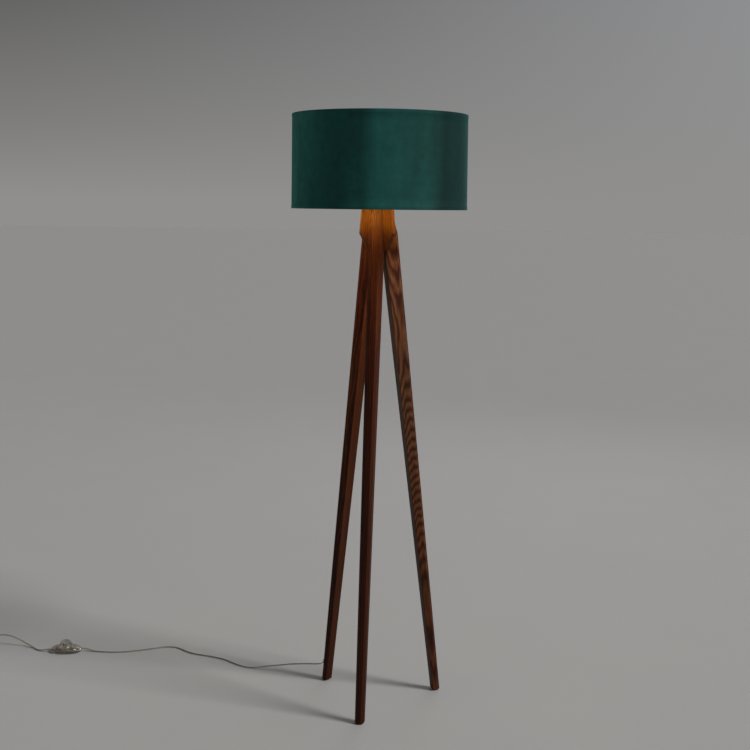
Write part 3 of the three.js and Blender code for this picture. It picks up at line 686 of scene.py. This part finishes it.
hub = loft("wooden_hub", [hub_ring(1172, 18, 29), hub_ring(1217, 31, 51.5), hub_ring(1296, 26.6, 45.2)], WOOD_H)
bevel(hub, 0.0010, 3, 20)
apply(hub)
bpy.ops.mesh.primitive_cylinder_add(vertices=48, radius=10.5 * MM, depth=90 * MM, location=(0, 0, 1.205))
c = bpy.context.object
cut(hub, c)
hub.data.shade_smooth()
hub.modifiers.new("normals", "WEIGHTED_NORMAL")
put(hub, "stand", "wood", "hub")

# felt glides under the feet
for side, az in AZ.items():
    gx, gy = place(FOOT_R - 20.5 / 2, az)
    g = turned("felt_glide_" + side, [(0, 0), (7.6, 0), (8.3, 0.5), (8.5, 1.2), (8.5, 2.4), (8.2, 2.9), (0, 2.9)], 48, FELT, (gx * MM, gy * MM))
    put(g, "stand", "glide_felt", "glide_" + side)

# ------------------------------------------------------------------- shade
R, Z0, Z1 = 225.0, 1279.0, 1519.0
SEAM = math.radians(95)


def weave(a, r, z):
    d = abs((a - SEAM + math.pi) % (2 * math.pi) - math.pi)
    lap = 0.35 * max(0.0, min(1.0, (0.030 - d) / 0.004)) if r > 224.3 else 0.0
    v = noise.noise(Vector((math.cos(a) * 3.0, math.sin(a) * 3.0, z * 0.012)))
    return (lap + 0.22 * v) if Z0 + 10 < z < Z1 - 10 else (lap * 0.4 + 0.05 * v)


prof = [(224.1, Z0 + 0.3), (224.35, Z0 - 0.1), (224.8, Z0), (225.15, Z0 + 0.5), (225.25, Z0 + 2.0), (225.2, Z0 + 8.6), (224.95, Z0 + 9.6), (224.55, Z0 + 10.4)]
for i in range(1, 12):
    prof.append((224.7, Z0 + 10.4 + (Z1 - Z0 - 20.8) * i / 12))
prof += [(224.55, Z1 - 10.4), (224.95, Z1 - 9.6), (225.2, Z1 - 8.6), (225.25, Z1 - 2.0), (225.15, Z1 - 0.5), (224.8, Z1), (224.35, Z1 + 0.1), (224.1, Z1 - 0.3)]
cover = turned("velvet_shade", prof, 256, VELVET, closed=True, bump=weave)
put(cover, "shade", "velvet", "shade_cover")
liner = turned("shade_liner_film", [(223.0, Z0 + 0.5), (223.8, Z0 + 0.4), (223.8, Z1 - 0.4), (223.0, Z1 - 0.5)], 192, LINER, closed=True)
bevel(liner, 0.0003, 2)
put(liner, "shade", "liner", "shade_liner")


def wire_ring(name, Rm, z, r, mat, n=160, m=14):
    return turned(name, [(Rm + r * math.cos(2 * math.pi * i / m), z + r * math.sin(2 * math.pi * i / m)) for i in range(m)], n, mat, closed=True)


top = wire_ring("top_wire_ring", 220.3, Z1 - 3.0, 2.0, WHITE)
put(top, "shade", "white_wire", "shade_ring_top")


def rod(name, pts, r, mat, n=14, per=8):
    line = catmull([Vector(p) * MM for p in pts], per)
    verts, faces = [], []
    up = Vector((0, 0, 1))
    k = len(line)
    for i, p in enumerate(line):
        t = (line[min(i + 1, k - 1)] - line[max(i - 1, 0)]).normalized()
        s = t.cross(up).normalized() if abs(t.z) < 0.999 else Vector((1, 0, 0))
        u = s.cross(t).normalized()
        for j in range(n):
            a = 2 * math.pi * j / n
            verts.append(p + (s * math.cos(a) + u * math.sin(a)) * r * MM)
    for a in range(k - 1):
        for j in range(n):
            q = (j + 1) % n
            faces.append((a * n + j, a * n + q, (a + 1) * n + q, (a + 1) * n + j))
    faces.append(tuple(range(n)))
    faces.append(tuple((k - 1) * n + i for i in range(n)))
    return mesh_obj(name, verts, faces, mat)


FIT = 1333.3
spider = turned("shade_fitter", [(20.2, FIT + 0.2), (20.6, FIT), (26.1, FIT), (26.5, FIT + 0.4), (26.5, FIT + 1.8), (26.1, FIT + 2.2), (20.6, FIT + 2.2), (20.2, FIT + 2.0)], 72, WHITE, closed=True)
low = wire_ring("bottom_wire_ring", 220.3, Z0 + 3.0, 2.0, WHITE)
arms = []
for i, az in enumerate((48, 168, 288)):
    p = lambda r, z: (*place(r, az), z)
    arms.append(rod("spider_arm_%d" % (i + 1), [p(24.6, FIT + 1.1), p(40, FIT + 0.9), p(60, FIT - 3.2), p(110, FIT - 19), p(165, FIT - 35.5), p(219.7, Z0 + 3.0)], 1.8, WHITE))
put(spider, "shade", "white_wire", "shade_spider")
for o in [low] + arms:
    put(o, "shade", "white_wire")

# clamp ring with finger notches
cz = FIT + 2.5
ring = turned("clamp_ring", [(20.05, cz + 0.3), (20.4, cz), (25.4, cz), (25.8, cz + 0.4), (25.8, cz + 6.3), (24.8, cz + 7.5), (20.4, cz + 7.5), (20.05, cz + 7.1)], 96, BLACK, closed=True,
              bump=lambda a, r, z: (-0.9 * max(0.0, math.cos(a * 12)) ** 6 if r > 24 else 0))
put(ring, "clamp_ring", "black_plastic", "shade_clamp_ring")

# ------------------------------------------------------- lampholder, bulb
CAPZ, BZ = 1303.6, 1321.3
cap = turned("holder_cap_smooth", [(5.3, CAPZ), (9.3, CAPZ), (10.2, CAPZ + 0.4), (13.2, CAPZ + 2.6), (18.6, CAPZ + 11), (19.2, CAPZ + 12.4), (19.2, CAPZ + 17.0), (18.9, CAPZ + 17.4), (16.4, CAPZ + 17.4), (16.4, CAPZ + 11), (5.3, CAPZ + 11)], 72, BLACK, closed=True)
bevel(cap, 0.0004, 2)
put(cap, "stand", "black_plastic", "holder_cap")
bp = [(15.2, BZ + 0.3), (18.9, BZ + 0.3), (19.3, BZ + 0.7), (19.6, BZ + 1.4), (19.6, BZ + 8), (23.8, BZ + 8.6), (24.2, BZ + 9.0), (24.2, FIT - 0.7), (23.8, FIT - 0.3), (19.7, FIT - 0.3)]
z = FIT + 0.6
while z < BZ + 38.5:
    bp += [(19.2, z), (19.7, z + 0.75), (19.7, z + 1.25), (19.2, z + 2.0)]
    z += 2.6
bp += [(19.2, BZ + 40), (18.6, BZ + 41), (15.6, BZ + 41), (15.2, BZ + 40.6)]
body = turned("holder_body_threaded", bp, 96, BLACK, closed=True)
put(body, "stand", "black_plastic", "holder_body")

B0 = 1324.2
cp = [(0, B0), (4.2, B0), (4.6, B0 + 0.4), (5.4, B0 + 1.5), (11.4, B0 + 4.6), (12.5, B0 + 5.6)]
z = B0 + 6
while z < B0 + 23:
    cp += [(12.6, z), (13.15, z + 1.1), (13.15, z + 1.7), (12.6, z + 2.8)]
    z += 3.4
cp += [(12.9, B0 + 25.4), (12.9, B0 + 26.6), (12.4, B0 + 27), (0, B0 + 27)]
bcap = turned("bulb_screw_cap", cp, 72, ALU)
put(bcap, "bulb", "bulb_cap", "bulb_cap")
glass_m, nt, b = material("lit_bulb_glass")
n = noise_tex(nt, coords(nt, (1, 1, 1)), 60, 2)
nt.links.new(mix(nt, n, (1.0, 0.84, 0.60), (1.0, 0.90, 0.70)), b.inputs["Base Color"])
b.inputs["Roughness"].default_value = 0.35
b.inputs["Emission Color"].default_value = (1.0, 0.78, 0.46, 1)
b.inputs["Emission Strength"].default_value = 0.95
zz = B0 + 27.3
gp = [(0, zz), (12.4, zz), (12.9, zz + 0.6), (13.0, zz + 8), (14.0, zz + 12), (16.8, zz + 18), (21.5, zz + 26), (26.4, zz + 35), (29.2, zz + 45), (30, zz + 53), (29, zz + 61.5), (25.6, zz + 70), (20, zz + 77), (12.4, zz + 81.6), (5, zz + 83.6), (0, zz + 84)]
glass = turned("bulb_globe", gp, 64, glass_m)
sub = glass.modifiers.new("round", "SUBSURF")
sub.levels = sub.render_levels = 1
glass.visible_shadow = False
put(glass, "bulb", "bulb_glass", "bulb_glass")


# ------------------------------------------------------------- foot switch
def oval(a, b, z, n=72, circle=0.0):
    out = []
    for i in range(n):
        t = 2 * math.pi * i / n
        c, s = math.cos(t), math.sin(t)
        x = a * math.copysign(abs(c) ** (0.82 + 0.18 * circle), c)
        y = b * math.copysign(abs(s) ** (0.9 + 0.1 * circle), s)
        out.append(swp(x, y, z) * MM)
    return out


def sw_cyl(lx, ly, z0, z1, r, n=32):
    p = swp(lx, ly, (z0 + z1) / 2) * MM
    bpy.ops.mesh.primitive_cylinder_add(vertices=n, radius=r * MM, depth=(z1 - z0) * MM, location=p)
    return bpy.context.object


def sw_bar(r=2.9):
    p = swp(0, 0, 7.5) * MM
    bpy.ops.mesh.primitive_cylinder_add(vertices=32, radius=r * MM, depth=0.12, location=p, rotation=(0, math.pi / 2, SWA))
    return bpy.context.object


base = loft("switch_base_shell", [oval(38.5, 22, 2.6), oval(38.5, 22, 7.35), oval(39.0, 22.4, 7.4), oval(42.6, 25.6, 7.4), oval(43, 26, 7.1), oval(43, 26, 2.4), oval(42.2, 25.2, 1.0), oval(40.6, 23.8, 0.4)], CLEAR, cap=True)
cut(base, sw_bar())
base.data.shade_smooth()
bevel(base, 0.0003, 2, 40)
put(base, "stand", "clear_plastic", "switch_base")
outer = [oval(39.5, 22.8, 7.6), oval(42.8, 25.8, 7.6), oval(43, 26, 8.0), oval(42.8, 25.8, 9.2), oval(40.6, 24.2, 12.4), oval(34.5, 21.4, 15.4, circle=0.2), oval(27, 19.9, 17.4, circle=0.6), oval(22, 19.3, 18.9, circle=0.9), oval(20.2, 19.0, 20.0, circle=1), oval(19.4, 18.7, 20.4, circle=1), oval(16.6, 16.6, 20.4, circle=1), oval(16.2, 16.2, 20.0, circle=1)]
inner = [oval(16.2, 16.2, 18.4, circle=1), oval(19.2, 17.6, 18.0, circle=1), oval(21.8, 17.9, 16.4, circle=0.8), oval(31.5, 19.2, 13.6, circle=0.2), oval(37.6, 21.6, 11.2), oval(39.5, 22.8, 8.8)]
cov = loft("switch_cover_shell", outer + inner, CLEAR, wrap=True)
cut(cov, sw_bar(), sw_cyl(22, 14, 13.4, 24, 3.3), sw_cyl(-22, -14, 13.4, 24, 3.3))
cov.data.shade_smooth()
bevel(cov, 0.0003, 2, 40)
put(cov, "stand", "clear_plastic", "switch_cover")
bx, by = SWX * MM, SWY * MM
btn = turned("switch_button_dome", [(6.2, 13.4), (16.9, 13.4), (17.2, 13.7), (17.2, 14.9), (16.9, 15.2), (15.9, 15.3), (15.8, 15.8), (15.8, 25.2), (15.3, 27.2), (14.2, 29.0), (12.0, 30.9), (8.6, 32.5), (4.5, 33.5), (0, 33.8)], 72, CLEAR, (bx, by))
bm = bmesh.new()
bm.from_mesh(btn.data)
# hollow underside for the spring
edges = [e for e in bm.edges if e.is_boundary]
ring = bmesh.ops.extrude_edge_only(bm, edges=edges)
nv = [v for v in ring["geom"] if isinstance(v, bmesh.types.BMVert)]
for v in nv:
    v.co.z = 24 * MM
bmesh.ops.contextual_create(bm, geom=[e for e in bm.edges if e.is_boundary])
bmesh.ops.recalc_face_normals(bm, faces=bm.faces)
bm.to_mesh(btn.data)
bm.free()
bevel(btn, 0.0003, 2, 40)
put(btn, "button", "clear_plastic", "switch_button")
# return spring as a wound wire
pts = []
for i in range(0, 5 * 16 + 1):
    a = 2 * math.pi * i / 16
    pts.append((SWX + 5.1 * math.cos(a), SWY + 5.1 * math.sin(a), 9.1 + 14.0 * i / 80))
spr = rod("switch_return_spring", pts, 0.45, STEEL, 8, 2)
put(spr, "stand", "steel", "switch_spring")
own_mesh(spr)

# -------------------------------------------------------------------- plug
PLX, PLY = -1237.3, 391.5


def plp(lx, ly, z):
    return Vector((PLX - lx, PLY - ly, z))


def plug_ring(x, hy, z0, z1, n=40, e=0.62):
    out = []
    cz_, hz = (z0 + z1) / 2, (z1 - z0) / 2
    for i in range(n):
        t = 2 * math.pi * i / n
        c, s = math.cos(t), math.sin(t)
        out.append(plp(x, hy * math.copysign(abs(c) ** e, c), cz_ + hz * math.copysign(abs(s) ** e, s)) * MM)
    return out


pb = loft("plug_body_moulded", [plug_ring(-18, 8.2, 1.8, 12.2), plug_ring(-17.4, 9.0, 1.3, 12.7), plug_ring(-12, 11.2, 0.7, 13.3), plug_ring(-4, 15.2, 0.5, 13.5), plug_ring(4, 17.1, 0.4, 13.6), plug_ring(12, 17.5, 0.4, 13.6), plug_ring(16.4, 17.4, 0.5, 13.5), plug_ring(17, 16.8, 1.1, 12.9)], CLEAR)
bevel(pb, 0.0003, 2, 50)
put(pb, "stand", "clear_plastic", "plug_body")
rl = []
for i in range(25):
    f = i / 24
    r = 4.6 - 1.7 * f
    if 0.08 < f < 0.92 and i % 3 == 0:
        r -= 0.55
    rl.append([plp(-18.2 - 24 * f, r * math.cos(2 * math.pi * j / 28), 7 + r * math.sin(2 * math.pi * j / 28)) * MM for j in range(28)])
relief = loft("plug_relief_ribbed", rl, CLEAR)
put(relief, "stand", "clear_plastic", "plug_strain_relief")
for s, nm in ((-1, "plug_pin_a"), (1, "plug_pin_b")):
    prs = [(4.3, 2.0), (34.6, 2.0), (35.6, 1.7), (36.0, 1.1)]
    rr = [[plp(x, 9.5 * s + r * math.cos(2 * math.pi * j / 28), 7 + r * math.sin(2 * math.pi * j / 28)) * MM for j in range(28)] for x, r in prs]
    pin = loft(nm + "_turned", rr, BRASS)
    bevel(pin, 0.0003, 2, 50)
    put(pin, "stand", "brass", nm)

# small clear grommet where the flex leaves the leg
gr = []
for r, h in [(3.0, -4.0), (4.4, -4.0), (4.4, 0.0), (6.4, 0.4), (6.6, 1.2), (5.6, 2.0), (3.4, 2.2), (3.0, 1.8)]:
    q = EXD.to_track_quat("Z", "Y")
    cpt = EX - EXD * 1.4
    gr.append([(cpt + q @ Vector((r * math.cos(2 * math.pi * j / 40), r * math.sin(2 * math.pi * j / 40), h))) * MM for j in range(40)])
grommet = loft("flex_grommet", gr, CLEAR, wrap=True)
put(grommet, "stand", "clear_plastic")

# ------------------------------------------------- lengths of the two flex pieces
print("cord lengths", round(L1, 3), round(L2, 3))
